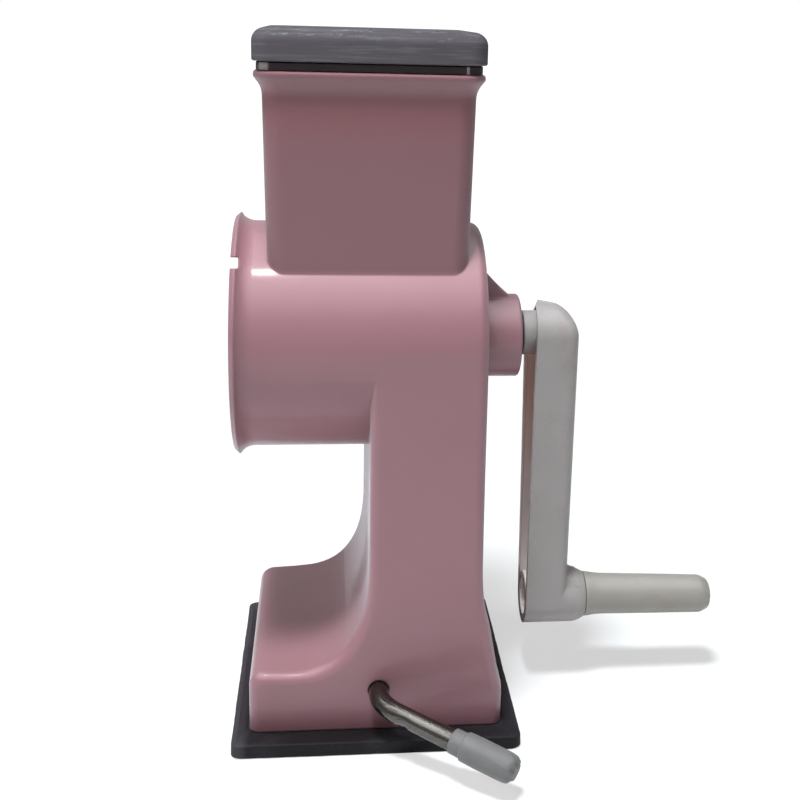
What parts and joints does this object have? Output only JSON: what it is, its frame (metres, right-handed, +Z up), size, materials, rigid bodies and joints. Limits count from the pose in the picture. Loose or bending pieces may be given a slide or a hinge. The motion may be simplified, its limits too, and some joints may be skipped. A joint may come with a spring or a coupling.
{
  "type": "hand crank drum grater",
  "caption": "Table-top rotary grater: hopper with pusher over a horizontal grating drum, turned by a crank, on a column with a suction base and a side lever.",
  "frame": {"origin": "underside of the suction pad, on the table, straight under the middle of the lever's axle", "axes": "+Z up, +X along the crank axis from the drum's mouth to the crank, -Y towards the suction lever"},
  "size_m": [0.2185, 0.1689, 0.294],
  "materials": {
    "pink_plastic": "glossy pale pink moulding",
    "grey_plastic": "satin mid grey moulding",
    "dark_plastic": "satin dark grey moulding",
    "ivory_plastic": "satin off-white moulding",
    "cap_plastic": "cloudy light grey soft plastic",
    "nylon": "natural nylon",
    "black_rubber": "matt black rubber",
    "black_washer": "matt black fibre",
    "bright_steel": "bright plated rod",
    "drum_steel": "rolled stainless sheet",
    "steel": "turned steel"
  },
  "bodies": {
    "housing": {"body_housing": "pink_plastic", "bearing_bush": "nylon", "suction_pad": "black_rubber"},
    "pusher": {"pusher_cap": "grey_plastic", "pusher_plunger": "dark_plastic"},
    "crank": {"crank_arm": "ivory_plastic", "drive_shaft": "steel", "thrust_washer": "black_washer", "grating_drum": "drum_steel", "drum_front_ring": "ivory_plastic", "drum_back_hub": "ivory_plastic", "drum_nut": "ivory_plastic"},
    "grip": {"crank_grip": "ivory_plastic", "grip_shank": "ivory_plastic"},
    "lever": {"lever_rod": "bright_steel", "lever_cap": "cap_plastic", "lift_cam": "nylon", "cam_pin": "steel", "rod_clip": "steel"},
    "lift": {"lift_yoke": "nylon", "stud_plate": "steel", "stud_screw": "steel"}
  },
  "joints": [
    {"name": "pusher_slide", "type": "slide", "parent": "housing", "child": "pusher", "axis": [0, 0, 1], "range_m": [0, 0.085]},
    {"name": "crank_turn", "type": "hinge", "parent": "housing", "child": "crank", "pos_m": [0.05, 0, 0.1644], "axis": [1, 0, 0], "continuous": true},
    {"name": "grip_spin", "type": "hinge", "parent": "crank", "child": "grip", "pos_m": [0.1, 0, 0.0384], "axis": [1, 0, 0], "continuous": true},
    {"name": "lever_turn", "type": "hinge", "parent": "housing", "child": "lever", "pos_m": [0, 0, 0.0218], "axis": [0, -1, 0], "range_deg": [0, 200]},
    {"name": "pad_lift", "type": "slide", "parent": "housing", "child": "lift", "axis": [0, 0, 1], "range_m": [0, 0.005]}
  ],
  "couplings": [
    {"joint": "pad_lift", "follows": "lever_turn", "m_per_rad": 0.001432}
  ]
}
